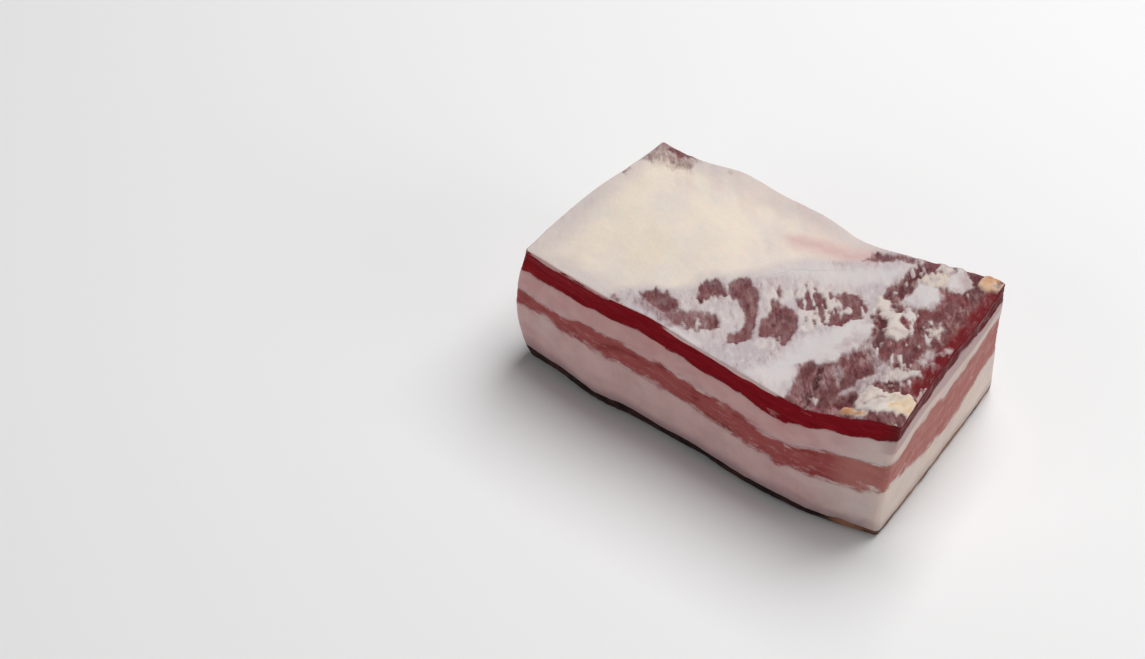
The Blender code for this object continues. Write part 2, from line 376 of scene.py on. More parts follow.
def lean_skin(p, along, share):
    """Lean: drawn back by drying, in fibres that run along the cut, long and thin."""
    base, full = dried(p, share)
    strand = np.stack([along, np.zeros_like(along), p[..., 2]], axis=-1)
    strands = rough(strand, (5.0, 1.0, 0.7), 3, 83)
    chunks = rough(strand, (8.0, 1.0, 2.2), 2, 89)
    return base + (0.13 * strands + 0.16 * chunks - 0.16) * full


def rind_skin(p, along, share):
    """Rind: a lip that stands a little proud at its top edge, lumpy."""
    return -0.32 + 0.25 * rough(p, 3.0, 3, 97) - 0.2 * (1.0 - share) ** 2


# %% [markdown]
# How a layer is closed. Every layer has a wall, and rings below that the layer under it
# hides. What lies on top differs: hidden rings, or the open face of the chunk. So the wall is
# made first, and one function closes it with whatever top it is given.

# %% A wall closed by a top and a foot
TUCK = 0.15


def numbers_of(wall):
    """The point numbers of a wall, row by row."""
    return np.arange(wall[..., 0].size).reshape(wall.shape[:2])


def run_along(wall):
    """How far along the loop each column is, in millimetres, taken on the lowest row."""
    gap = np.linalg.norm(np.roll(wall[0], -1, axis=0) - wall[0], axis=-1)
    return np.broadcast_to(np.concatenate([[0.0], np.cumsum(gap)[:-1]]), wall.shape[:2])


def close_wall(name, wall, along, spans, top, low, rings=HIDDEN_RINGS, tucked=True, onto_top=None):
    """A closed piece: a wall of rows, a top that is given, and rings below. The faces that
    another layer hides are marked. The masks are those of the sides, and of the top by the
    share onto_top, which is 1 on the sheet."""
    numbers = numbers_of(wall)
    strips = [strip(lower, upper) for lower, upper in zip(numbers, numbers[1:])]
    top_points, top_plan, top_faces, top_cone = top
    start = numbers.size + len(top_points)
    low_points, low_plan, low_faces, low_cone = rings_inward(numbers[0], spans[0], start, rings, low, False)
    points = np.concatenate([wall.reshape(-1, 3), top_points, low_points])
    plan = np.concatenate([spans.reshape(-1, 2), top_plan, low_plan])
    under, hidden_foot = onto_top is None, rings <= HIDDEN_RINGS
    marked = (
        (strips[0], tucked), (np.concatenate(strips[1:]), False), (top_faces, under),
        (low_faces, hidden_foot), (top_cone, under), (low_cone, hidden_foot),
    )
    hidden = np.concatenate([np.full(len(faces), mark) for faces, mark in marked])
    faces, cones = np.concatenate(strips + [top_faces, low_faces]), np.concatenate([top_cone, low_cone])
    piece = mesh_object(name, points, faces, cones, hidden)
    fields = side_tissue(points, *plan.T)
    run, on_top = np.zeros((2, len(points)))
    run[: numbers.size] = along.ravel()
    if onto_top is not None:
        on_top[: numbers.size], on_top[numbers.size : start] = onto_top.ravel(), 1.0
        on_top, upper = smooth(on_top), top_tissue(points)
        fields = {key: over(fields[key], on_top, upper[key]) for key in fields}
    del fields["lift"]
    paint(piece, along=run, top=on_top, **fields)
    print(name, "points", len(points), "triangles", 2 * len(faces) + len(cones))
    return piece


def layer(name, low, high, rows, skin, rings=HIDDEN_RINGS, tuck=TUCK):
    """A layer that shows only on the sides: a wall from its low to its high border, pushed
    out by its skin. One more row below the lowest is tucked down and in behind the layer
    below, so that no crack shows between two layers; the rind, which lies lowest, needs none."""
    grid = np.meshgrid(LENGTH * even_columns, WIDTH * even_rows, indexing="ij")
    x, y = round_corners(*map(loop_of, grid))
    share = np.linspace(0.0, 1.0, rows)
    if tuck > 0.0:
        share = np.concatenate([[0.0], share])
    share = share[:, None]
    tucked = np.where(np.arange(len(share)) == 0, tuck, 0.0)[:, None]
    z = low(x, y) + (high(x, y) - low(x, y)) * share - tucked
    spans = np.broadcast_to(np.stack([x, y], axis=-1), (*z.shape, 2))
    wall = place(spans[..., 0], spans[..., 1], z)
    along = run_along(wall)
    wall = wall + outward(wall) * (skin(wall, along, np.broadcast_to(share, z.shape)) - tucked)[..., None]
    top = rings_inward(numbers_of(wall)[-1], spans[0], z.size, HIDDEN_RINGS, high, True)
    return close_wall(name, wall, along, spans, top, low, rings, tuck > 0.0)


# %% [markdown]
# The cream cover is what is left of the fat over the muscle. A knife thinned it out towards
# the right until the lean came through, so it ends in a ragged slanting line, and its
# underside rises to that line.

# %% The line where the fat cover ends
# Places across the chunk, and how far along it the cover reaches there.
CAP_EDGE = (
    (-1.0, 4.0, 8.0, 12.0, 16.0, 20.0, 24.0, 27.0, 33.0, 38.0, 43.0, 47.0, 51.0, 61.0),
    (27.0, 31.0, 34.0, 40.5, 42.5, 45.0, 48.5, 51.0, 54.0, 57.0, 62.0, 67.0, 70.5, 76.0),
)


def cap_edge(y):
    """Where the cover ends at a place across the chunk: straight lines between measured
    points, with a 3 mm tatter."""
    p = np.stack([np.zeros_like(y), y, np.zeros_like(y)], axis=-1)
    return np.interp(y, *CAP_EDGE) + 0.8 * rough(p, 3.0, 3, 41)


def cap_bed(x, y):
    """The underside of the cover: a thin lip at its edge, deepening to the back left."""
    deep = smooth((cap_edge(y) - x) / 34.0) * smooth(y / WIDTH / 0.7)
    return top_height(x, y) - 1.0 - 3.6 * deep


# %% [markdown]
# The masks of the cut sides say what tissue a point is: how far it lies inside lean, how red
# that lean is, how pink the fat. Long torn tongues are added to the plain height above or
# below a border, so lean can reach out over fat, which a border line alone can't do. The
# faces differ too: the front is pinker, with painted pink light bounced and scattered into
# its shade; the right end is paler; and the fat darkens over the rind.

# %% Tissue on the sides
def side_tissue(p, x, y):
    """The masks of a point on the sides, from its height between the borders."""
    z = p[..., 2]
    low, middle, high = lower_border(x, y), middle_border(x, y), upper_border(x, y)
    lobes, tongues = rough(p, (6.0, 6.0, 3.0), 3, 151), rough(p, (3.2, 3.2, 0.8), 3, 152)
    # Lean: the pink streak lies between two borders, the dark lean over the third one.
    under_cover = np.where(x < cap_edge(y), cap_bed(x, y) - z, FAR)
    inside = np.minimum(z - low, middle - z) + 2.4 * lobes + 1.2 * tongues
    lean_low = smooth(inside / 3.6 + 0.5) - 0.45 * smooth((tongues - 0.15) / 0.5)
    lean_high = smooth((np.minimum(z - high, under_cover) + lobes + 0.5 * tongues) / 1.6 + 0.5)
    flecks = smooth((rough(p, (4.0, 4.0, 1.6), 3, 163) - 0.34) / 0.25)
    front, right = 1.0 - smooth(y / 4.0), 1.0 - smooth((LENGTH - x) / 5.0)
    in_reach = front * smooth((x - 40.0) / 6.0) * smooth((78.0 - x) / 4.0)
    fringe = in_reach * smooth((z - top_height(x, y) + 1.7 + 0.9 * lobes) / 0.6)
    lean_high = lean_high * (1.0 - 0.4 * flecks) * (1.0 - 0.95 * fringe)
    # Which of the two leans, and how pink, dark or rusty the fat beside it is.
    upper = smooth((z - 0.5 * (middle + high)) / 0.8 + 0.5)
    seam = smooth((z - middle + 1.0) / 2.0)
    # The pink on the fat of the sides, strongest on the shaded front and by the lean seam and weak on the
    # right end, is painted light: bounced and scattered light put into its colour.
    left, back = 1.0 - smooth(x / 4.0), 1.0 - smooth((WIDTH - y) / 4.0)
    fat_pink_and_pink_light = np.maximum(np.maximum(front, 0.8 * left), 0.6 * back)
    fat_pink_and_pink_light = fat_pink_and_pink_light * (1.0 + 0.35 * seam) * (1.0 - 0.65 * smooth((x - 84.0) / 20.0))
    fat_pink_and_pink_light = np.maximum(fat_pink_and_pink_light, (0.30 + 0.24 * seam) * right) * (1.0 - 0.5 * fringe)
    over_rind = 1.0 - smooth((z - rind_top(x, y) - 1.5 * lobes) / 4.2)
    rust = smooth((x - 88.0) / 10.0) * smooth((rough(p, 5.0, 3, 171) + 0.5) / 0.6)
    warm = np.where(z < rind_top(x, y) + 0.1, rust, 0.12 * right)
    return {
        "lean": np.maximum(lean_low, lean_high),
        "soft": 0.36 - 0.10 * upper,
        "red": upper,
        "mauve": np.zeros_like(z),
        "lilac": (0.35 + 0.2 * lobes) * (1.0 - 0.7 * right),
        "warm": warm,
        "pale": np.maximum(0.46 * right, 0.5 * smooth((x - 90.0) / 8.0)) * (1.0 - upper),
        "dark": np.maximum(0.72 * over_rind * (1.0 - 0.5 * right), 0.58 * upper * right),
        "fat_pink_and_pink_light": fat_pink_and_pink_light * (0.9 + 0.2 * lobes),
        "lift": np.zeros_like(z),
    }


# %% [markdown]
# The layers of the cut sides, from the rind up: a rind of dark skin, the thick back fat, the
# pink streak of lean, and the seam of fat above it.

# %% Rind, lower fat, lower lean and upper fat
rind = layer("rind", rind_bottom, rind_top, 12, rind_skin, rings=60, tuck=0.0)
lower_fat = layer("lower_fat_skin", rind_top, lower_border, 42, fat_skin)
lower_lean = layer("lower_lean_skin", lower_border, middle_border, 30, lean_skin)
upper_fat = layer("upper_fat_skin", middle_border, upper_border, 24, fat_skin)

# %% [markdown]
# The top. The upper lean is the whole slab under it, and the cream cover lies let into its
# back left part. Both are one slab in plan, parted along a ragged line, and both take the
# height of the chunk's top.

# %% Columns of the slab
BED, OPEN = 110, 230


def slab_columns(y):
    """The x of each column at a place across: some up to the cover's edge, the rest past it."""
    edge = cap_edge(y)[..., None]
    bed = np.linspace(0.0, 1.0, BED + 1) * edge
    rest = edge + np.linspace(0.0, 1.0, OPEN + 1)[1:] * (LENGTH - edge)
    return np.concatenate([bed, rest], axis=-1)


print("cover ends at", cap_edge(np.array([0.0, 30.0, 60.0])).round(1))


# %% [markdown]
# The marbled top is drawn as a painter would: first fat everywhere, then lean laid over it,
# then smears of pale fat over the lean. A shape is an area with corners or a stroke with a
# width. Before any shape is drawn, the place is warped: slow noise bends its outline, and
# noise that is long along the muscle's diagonal frays it into tongues, because tissue tears
# along its fibres and never ends in a clean line.

# %% The diagonal of the fibres, and the torn place
FIBRE = np.array([0.60, -0.80])


def along_fibres(p, size, octaves, seed, stretch=3.5):
    """Noise on the plan, longer along the fibres than across them by the stretch."""
    u = (p[..., 0] * FIBRE[0] + p[..., 1] * FIBRE[1]) / stretch
    v = p[..., 1] * FIBRE[0] - p[..., 0] * FIBRE[1]
    return rough(np.stack([u, v, np.zeros_like(u)], axis=-1), size, octaves, seed)


def torn_place(p):
    """The place on the plan: pushed about by 3.5 mm noise, then along the fibres by noise that
    changes every 0.8 mm across them, and last by 1 mm noise."""
    flat = p * np.array([1.0, 1.0, 0.0])
    slow = np.stack([rough(flat, 3.5, 3, 501), rough(flat, 3.5, 3, 502)], axis=-1)
    quick = np.stack([rough(flat, 1.0, 2, 503), rough(flat, 1.0, 2, 504)], axis=-1)
    tongues = along_fibres(flat, 0.9, 2, 505)[..., None] * FIBRE
    return flat[..., :2] + slow + 1.25 * tongues + 0.35 * quick


# %% Strokes and areas of tissue
def to_run(at, start, run):
    """The distance to a straight run: to the place on it at the nearest share of its way."""
    share = np.clip(((at - start) @ run) / (run @ run), 0.0, 1.0)
    return np.linalg.norm(at - start - share[..., None] * run, axis=-1)


def stroke(at, path, width):
    """How far inside a stroke each place lies, in millimetres: the half width less the
    distance to the nearest bit of the bent line."""
    path = np.asarray(path, float)
    best = np.full(at.shape[:-1], -FAR)
    for start, end in zip(path, path[1:]):
        best = np.maximum(best, width - to_run(at, start, end - start))
    return best


def area(at, corners):
    """How far inside an area with corners each place lies: the least distance to its sides,
    negative outside. A place is inside if a line from it crosses the sides an odd number of
    times."""
    corners = np.asarray(corners, float).reshape(-1, 2)
    x, y = at[..., 0], at[..., 1]
    nearest, inside = np.full(x.shape, FAR), np.zeros(x.shape, bool)
    for a, b in zip(corners, np.roll(corners, -1, axis=0)):
        run = b - a
        nearest = np.minimum(nearest, to_run(at, a, run))
        rise = run[1] if run[1] else 1e-9
        inside ^= ((a[1] > y) != (b[1] > y)) & (x < a[0] + (y - a[1]) / rise * run[0])
    return np.where(inside, nearest, -nearest)


def cover_of(inside, soft):
    """How much of a place a shape covers, from 0 to 1, over a border as soft as given."""
    return smooth(inside / (2.0 * soft) + 0.5)


def over(field, cover, value):
    """Lays a value over a field where a shape covers it."""
    return field + (value - field) * cover


# %% [markdown]
# Where the shapes lie. Places are in millimetres from the chunk's front left corner. The lean
# comes up through the fat in patches on the left and in the middle, and makes up the whole
# right end, where fat lies on it in smears and crumbs.

# %% Tables of areas and strokes
# Corners are given as x, y, x, y and so on. Areas of lean: softness, strength, corners.
LEAN_AREAS = (
    (0.9, 1, (32, 3.8, 33.4, 6.8, 36.5, 8.2, 40, 7.6, 41.6, 5.4, 41, 2.6, 38, 1, 34, 1.6)),
    (1.1, 0.78, (40, 4.6, 44, 5.4, 46, 8.4, 49.5, 9.9, 52.2, 9.2, 53, 6.6, 51, 3.4, 48.5, 1, 45.5, -0.4,
     41, 0.4, 39, 1.6)),
    (0.7, 1, (47.4, 8.6, 50, 10, 52.4, 9, 52.8, 6.8, 51, 5.2, 49.4, 6.8)),
    (1.4, 0.5, (31.5, 2.5, 49, 2.6, 47, -1, 40, -2.2, 33, -0.8)),
    (0.8, 1, (41.6, 15, 42.6, 18, 44.5, 19.6, 46.5, 18.6, 48.5, 17.4, 48, 15, 46.4, 13, 45.6, 10.4, 44, 10.4,
     43.2, 12.4)),
    (0.8, 1, (47.4, 20, 48, 23.8, 50.4, 24.6, 52.6, 23.2, 54.6, 21.6, 56.4, 18.6, 58.6, 15.6, 60.4, 11.6,
     61.2, 8, 60, 4.8, 57.2, 3.4, 56.2, 5.2, 57.6, 8.4, 56.8, 11.6, 55, 14, 53.2, 15.8, 50.6, 16.8,
     48.4, 17.4)),
    (0.7, 0.85, (57.2, 27.2, 58.8, 27, 60.4, 23.6, 61.8, 19.6, 60.6, 18, 58.8, 21.2)),
    (0.8, 1, (60, 15, 60, 20, 61.6, 23.4, 64, 23.2, 66.6, 20.8, 68.4, 18, 69.6, 14, 69, 10.2, 67, 11.2,
     65.9, 12.8, 64.8, 9.6, 62.8, 9.4, 61.2, 11.8)),
    (0.7, 0.95, (60.6, 28.6, 61.6, 32, 66.8, 33.6, 69.6, 33, 71.6, 35.4, 74, 37.8, 76.4, 36.4, 79, 34.2,
     79.8, 31, 78, 28, 76, 25.4, 73.6, 23, 71.8, 20.6, 69, 21.4, 66.4, 23.4, 64, 25.4)),
    (1.2, 0.75, (69, 48, 69.8, 52.6, 74, 55, 84, 60, 84, 55, 77, 53, 72.4, 50.2)),
    (0.8, 0.8, (25.6, -2.4, 26.4, -0.5, 29.2, -0.7, 29, -2.8)),
    (3.2, 0.52, (1, 43, 2, 56, 17, 56, 17.5, 47, 9, 44)),
    (1.4, 0.72, (6.6, 50.8, 6.8, 54.6, 14.6, 54.6, 14.8, 51.8, 11, 50.4)),
    (1.6, 0.6, (0.4, 36.4, 0.8, 40.2, 4, 39.8, 3.6, 36.6)),
    (1.1, 1, (79.2, -6, 78.4, 0, 77.4, 3.8, 75.4, 6.6, 76.2, 9.2, 79.4, 10.8, 81.2, 14.8, 83, 18.4, 84, 22.6,
     84, 26.6, 82.6, 31, 80.6, 34.6, 79.4, 40, 79.6, 46, 80.4, 52, 80.4, 58, 80, 68, 114, 68, 114, -8)),
)
# Where lean and fat lie mixed in crumbs along the fibres: softness, share of fat, corners.
BROKEN_AREAS = (
    (1.4, 0.52, (56.5, 19, 56.5, 28, 60, 34, 69, 35, 73, 31, 75, 26, 73, 21, 68.5, 18.6, 63.5, 24.6,
     61.5, 25, 60.5, 18)),
    (1.6, 0.3, (70, 33, 74, 38, 80, 34, 78, 27, 74, 28)),
    (1.5, 0.34, (63, 6, 66, 14, 71, 14, 71, 6)),
    (1.5, 0.16, (43, 0, 46, 8, 49, 8, 50, 1)),
    (2, 0.36, (93, -3, 92, 10, 95, 22, 107, 20, 107, -3)),
    (2.5, 0.3, (84, 20, 84, 38, 92, 40, 100, 37, 100, 20)),
    (2, 0.26, (79, 40, 80, 57, 86, 57, 85, 40)),
)
# Fat on the lean: softness, how much lean is left, warm, lilac, pale, height, corners.
FAT_AREAS = (
    (0.8, 0.04, 0.16, 0.42, 0.2, 0.4, (79, 39.8, 82.4, 38.2, 85.6, 36, 88.4, 33.4, 91.8, 30.8, 91.2, 27.4,
     88, 27.6, 86.2, 30.4, 84, 32.4, 81.4, 33.2, 79.2, 36)),
    (1.4, 0.05, 0, 0.9, 0.9, 0.2, (84.8, 40.6, 84.6, 46.2, 86.6, 49.4, 90.4, 48.8, 92.8, 46, 92.8, 41.6,
     90, 40)),
    (1.2, 0.16, 0.62, 0.5, 0, 0.2, (85, 49, 84.6, 53.4, 88, 54.8, 91.6, 54.4, 91.9, 49.8, 88.6, 48.2)),
    (0.9, 0.1, 0.05, 0.8, 0.8, 0.3, (89.8, 58.4, 90.6, 53, 92.4, 49.6, 97.2, 50.6, 96.8, 53.8, 93.6, 58.4)),
    (0.7, 0.1, 1.2, 0.2, 0, 0.4, (96.6, 56.6, 98.6, 61.5, 102.4, 61, 102.8, 54.4, 100.2, 52.8, 98, 55)),
    (1.4, 0.3, 0, 0.9, 0.5, 0, (98, 22.2, 98.4, 30, 102.2, 29.8, 103, 22.4)),
    (1.5, 0.42, 0.1, 0.8, 0.3, 0, (84.4, 20.4, 84.8, 27, 87.4, 27.6, 87.6, 21.2)),
    (1.3, 0.32, 0, 0.95, 0.3, 0, (88.6, 4.8, 89.4, 9.4, 91, 13.6, 92.2, 18.8, 95.4, 18.4, 94.4, 13.4,
     93.4, 8.6, 91.6, 5)),
    (1, 0.18, 0.35, 0.6, 0.2, 0.1, (93.8, 15, 94.8, 20, 99.4, 19, 99, 14.8)),
    (0.9, 0.3, 0.3, 0.4, 0.3, 0.1, (94.4, 33.4, 95.6, 37.2, 99.6, 36.2, 98.8, 33.2)),
    (0.7, 0.14, 0.3, 0.4, 0.4, 0.35, (94, 2.6, 94.2, 9.6, 98.6, 11, 104, 10.8, 106.6, 9.6, 106.4, 4.6,
     102.6, 2.4, 98.6, 0.8)),
    (0.5, 0, 0.1, 0.5, 0.9, 0.7, (95.2, 2.4, 96.4, 6, 101.6, 5.8, 102.2, 2.8, 98.6, 1.2)),
    (0.6, 0.1, 0.4, 0.5, 0.2, 0.6, (94.2, 6.2, 94.6, 10.6, 98.6, 10.8, 99.2, 8.6, 96.8, 6.6)),
    (0.5, 0, 0.4, 0.1, 0.4, 0.6, (98.8, 7.8, 99.2, 10.8, 103.6, 10.6, 103.4, 7.6)),
    (0.5, 0, 0.95, 0.1, 0, 0.6, (101.6, 4, 102, 9.8, 106.6, 10, 107, 4.4)),
    (0.5, 0.1, 1.2, 0.1, 0, 0.4, (92, -2.4, 93.2, 0.8, 97.8, 2, 97.4, -1)),
    (0.4, 0.2, 0.1, 0.6, 0.8, 0.1, (83.3, -0.8, 83.3, 2.8, 84.4, 2.8, 84.5, -0.6)),
    (0.7, 0.2, 0.3, 0.5, 0.3, 0.2, (85.2, 55, 85.6, 57.8, 89.6, 57.6, 89.4, 55)),
    (0.5, 0.2, 0.2, 0.5, 0.6, 0.2, (105, 11, 105, 15, 107.5, 15, 107.5, 11)),
    (0.5, 0.3, 0.2, 0.5, 0.4, 0.1, (101.6, 28.2, 101.8, 33.6, 103.6, 33.4, 103.4, 28.2)),
    (0.7, 0, 0.05, 0.6, 0.9, 0.4, (68.4, 17.8, 68.6, 19.6, 70.6, 19.6, 70.6, 17.6)),
    (1.2, 0.12, 0, 0.8, 0, 0, (48.6, 12, 49.4, 16.2, 53, 15.6, 53.4, 11.4)),
)
# Smears of pale fat over the lilac, the broad diagonal streak first: softness, strength, corners.
PALE_AREAS = (
    (2, 1, (66, -2, 70, 4, 71, 10, 71.6, 15, 74.2, 20, 76, 25, 78.4, 30.6, 84, 30.6, 84, 25, 82.6, 20,
     80.2, 15, 77.4, 9.8, 75.2, 6, 77, 2, 75, -3)),
    (2.4, 0.9, (53, 29, 58, 33.4, 64, 36, 71, 39, 75, 43, 79.4, 46, 79, 52, 75, 49, 70, 45, 63, 41, 56, 36)),
    (1, 0.9, (43, -2.6, 43.5, -0.8, 52, -0.6, 53, -3.4)),
    (1, 0.8, (74.6, -5.8, 74.8, -3, 78.2, -3.2, 78, -6)),
)
# Dark lean and stains, and cracks and hollows whose darkness is painted shade: softness,
# darkness, depth in millimetres, path, half width.
DARK_STROKES = (
    (1.2, 0.55, 0.2, ((83, 43), (82.2, 48), (83.4, 52.5)), 1.6),
    (0.7, 0.4, 0.1, ((80.4, 41.4), (83, 38.8), (86.8, 37.2)), 0.8),
    (0.7, 0.6, 0.3, ((83.8, 32.5), (86, 29), (88, 24)), 0.9),
    (0.4, 0.6, 0.3, ((81.2, 34.5), (81.9, 31.5)), 0.35),
    (0.4, 0.95, 0.9, ((80.6, 9.4), (81.4, 6.5), (82.6, 4)), 0.35),
    (0.4, 0.9, 0.7, ((82.4, 1.4), (83.2, -1.5), (83.5, -4)), 0.35),
    (0.9, 0.55, 0.3, ((90, 1.6), (92.8, 4.2)), 1.4),
    (0.4, 0.8, 0.5, ((97.2, 6.2), (98.4, 7.8)), 0.5),
    (0.6, 0.55, 0.3, ((96, 13.2), (99, 14.2)), 0.5),
    (0.6, 0.45, 0.2, ((94.4, 12), (94.8, 3)), 0.5),
    (1.2, 0.45, 0.2, ((94.5, 56.5), (99, 51)), 2.6),
    (0.4, 0.6, 0.3, ((93, 51.2), (96, 50.8)), 0.3),
    (0.9, 0.45, 0.1, ((78.6, 8.8), (78.2, 6.2)), 1.4),
    (0.8, 0.32, 0.1, ((48.4, 23.6), (51, 23.6), (55.2, 20.4)), 0.8),
    (1, 0.3, 0.1, ((50.6, 9.2), (51.8, 6.6)), 1.3),
    (1, 0.28, 0.1, ((35, 5.6), (38.6, 5.4)), 1.8),
    (1, 0.28, 0.1, ((43.6, 17.6), (46.2, 17.2)), 1.2),
    (1, 0.28, 0.1, ((62.6, 20.6), (64.8, 18.4)), 1.4),
    (0.8, 0.35, 0.1, ((70.8, 52.4), (73, 52.8)), 0.9),
    (0.5, 0.5, 0, ((25.4, 53.9), (25.7, 53.6)), 0.3),
    (1.2, 0.16, 0, ((47, 38), (49.8, 35)), 0.4),
)


# %% The masks of the top
def top_tissue(p):
    """The masks of the top at each point. Each starts as a slow cloud on the cover or past its
    edge, and the shapes are laid over it in turn."""
    flat = p * np.array([1.0, 1.0, 0.0])
    at = torn_place(p)
    x, y = at[..., 0], at[..., 1]
    calm = flat[..., :2] + 1.6 * np.stack([rough(flat, 5.0, 3, 506), rough(flat, 5.0, 3, 507)], axis=-1)
    past = smooth((calm[..., 0] - np.interp(calm[..., 1], *CAP_EDGE) + 4.5) / 7.0)
    cloud, small = rough(flat, 9.0, 3, 51), rough(flat, 2.4, 3, 52)
    streak, film = along_fibres(flat, 1.0, 3, 53, 3.0), along_fibres(flat, 3.2, 3, 54, 2.6)
    # The cover's own tones: thin and lilac at its rim and past its edge, cream inside.
    rim = np.minimum(np.minimum(calm[..., 0] - 1.0, 53.0 - calm[..., 1]), calm[..., 1] + 1.0)
    thin = 0.55 * (1.0 - smooth(rim / 8.0)) + 0.14 * cloud + 0.05 * film
    lilac = over(thin, past, 0.88 + 0.26 * cloud)
    warm = (0.10 + 0.12 * cloud) * (1.0 - past)
    warm = over(warm, cover_of(stroke(at, ((24.5, 13.0), (28.0, 19.5)), 2.6), 2.5), 0.30)
    fat_pink_and_pink_light = 0.80 * cover_of(stroke(calm, ((52.0, 42.5), (60.0, 46.0), (69.0, 49.5)), 2.2), 3.0)
    fat_pink_and_pink_light = np.maximum(fat_pink_and_pink_light, 0.16 * smooth((film + 0.2) / 0.8) * smooth((y - 30.0) / 14.0) * (1.0 - past))
    pale, lift = np.zeros(x.shape), np.zeros(x.shape)
    lean = over(np.full(x.shape, -0.35), past, 0.13 + 0.24 * film)
    # Pale smears, the lean with a faint halo round it, and crumbs of both.
    for softness, strength, corners in PALE_AREAS:
        cover = cover_of(area(at, corners) + 0.8 * small, softness)
        pale, lean = over(pale, cover, strength), over(lean, cover, -0.25)
    for softness, strength, corners in LEAN_AREAS:
        inside = area(at, corners)
        halo = 0.34 * cover_of(inside, 2.0 + softness)
        lean = np.maximum(lean, strength * np.maximum(cover_of(inside, softness), halo))
    in_streak = area(at, PALE_AREAS[0][-1]) - 1.2 + 0.6 * small
    lean = over(lean, 0.9 * cover_of(in_streak, 0.9), -0.30)
    for softness, share, corners in BROKEN_AREAS:
        crumbs = smooth((streak + 0.5 * small + 1.5 * (share - 0.5)) / 0.4 + 0.5)
        bits = crumbs * cover_of(area(at, corners), softness)
        lean, pale = over(lean, bits, 0.15), over(pale, bits, 0.35)
        lilac, warm, lift = over(lilac, bits, 0.62), over(warm, bits, 0.10), over(lift, bits, 0.22)
    # The mass of lean on the right, mottled, with fat on it and cracks in it.
    mass = smooth((x - 78.0) / 4.0)
    mixed, flesh_red = rough(flat, 3.0, 3, 55), smooth((rough(flat, 6.0, 3, 56) + 0.05) / 0.5)
    lean = lean - 0.42 * smooth((film - 0.05) / 0.5) * mass
    pale = over(pale, mass, 0.9 * smooth((mixed + 0.25) / 0.6))
    dark = 0.32 * smooth((-0.12 - mixed) / 0.4) * mass
    for softness, left, heat, blue, white, height, corners in FAT_AREAS:
        cover = cover_of(area(at, corners) + small + 0.9 * streak, softness)
        lean = over(lean, cover, left + 0.3 * smooth(-mixed - 0.1))
        lift = over(lift, cover, height * (1.0 + 1.2 * small))
        warm, lilac = over(warm, cover, heat * (0.85 + 0.7 * mixed)), over(lilac, cover, blue)
        pale = over(pale, cover, white)
    # The deep strokes are cracks and hollows, cut down by their depth and darkened with painted shade; the
    # shallow ones are darker lean.
    for softness, darkness, depth, path, width in DARK_STROKES:
        cover = cover_of(stroke(at, path, width), softness)
        dark, lift = np.maximum(dark, darkness * cover), lift - depth * cover
        lean = over(lean, cover * smooth((lean - 0.1) / 0.3), np.maximum(lean, 0.9))
    # The rim of the right end is cut clean, so it is redder and has no film.
    ruddy = smooth((x - 99.5) / 3.0) * smooth((y - 10.0) / 5.0)
    lean, dark = over(lean, ruddy * smooth(0.5 - small), 1.0), np.maximum(dark, 0.40 * ruddy)
    return {
        "lean": lean,
        "soft": 0.26 + 0.18 * past,
        "red": np.maximum(ruddy, 0.8 * mass),
        "mauve": 1.0 - np.maximum(0.85 * ruddy, 0.22 * flesh_red * mass),
        "lilac": np.clip(lilac, 0.0, 1.0),
        "warm": np.clip(warm, 0.0, 1.4),
        "pale": pale * (1.0 - ruddy),
        "dark": dark,
        "fat_pink_and_pink_light": fat_pink_and_pink_light,
        "lift": lift,
    }


probe = top_tissue(np.array([[20.0, 30.0, 40.0], [95.0, 42.0, 40.0]]))
print("lean on the cover and on the right:", probe["lean"].round(2))


# %% [markdown]
# Dried lean sinks a little below the fat round it, and torn bits stand up. The relief of the
# top is worked out from the same masks as its colours, so that the two always agree.

# %% Relief of the top, and the slab under it
def top_relief(p, tissue):
    """Up or down in millimetres: down in the lean and torn along the fibres, slow waves on fat."""
    lean = smooth(tissue["lean"])
    waves = 0.22 * rough(p, 7.0, 3, 131) + 0.04 * rough(p, 1.6, 2, 137)
    torn = 0.30 * along_fibres(p, 1.3, 3, 139, 2.5) + 0.30 * rough(p, 4.0, 2, 141)
    return waves * (1.0 - lean) + (torn - 0.35) * lean - 0.20 + 0.9 * tissue["lift"]


HIGH, ROOM = 41.0, 0.75


def eased(z):
    """Heights above 41 mm are pressed together, so that no crumb stands above the chunk's
    highest place: the room above it times the hyperbolic tangent of the share of it."""
    return np.where(z > HIGH, HIGH + ROOM * np.tanh((z - HIGH) / ROOM), z)


def open_share(x, y, roof):
    """How much of the relief a place of the top gets: half at the rim, all of it from 0.6 mm
    inside it, and none where the layer's roof lies under the cover."""
    return smooth((from_sides(x, y) + 0.6) / 1.2) * np.clip(1.04 - (top_height(x, y) - roof) / 0.5, 0.0, 1.0)


RIM, BENDS = 0.6, 6


def sheet_numbers(rim, first, nx, ny):
    """The point numbers of a grid whose rim is a wall's last row and whose inner points are
    counted on from a first number."""
    numbers = np.zeros((nx, ny), np.int64)
    numbers[1:-1, 1:-1] = np.arange((nx - 2) * (ny - 2)).reshape(nx - 2, ny - 2) + first
    numbers[:-1, 0], numbers[-1, :-1], numbers[:0:-1, -1], numbers[0, :0:-1] = np.split(
        rim, np.cumsum([nx - 1, ny - 1, nx - 1])
    )
    return numbers


def relief_on(points, x, y, roof, share=1.0):
    """Lifts points by a share of the top's relief, and eases them under the highest place."""
    relief = top_relief(points, top_tissue(points)) * open_share(x, y, roof) * share
    points[..., 2] = eased(points[..., 2] + relief)


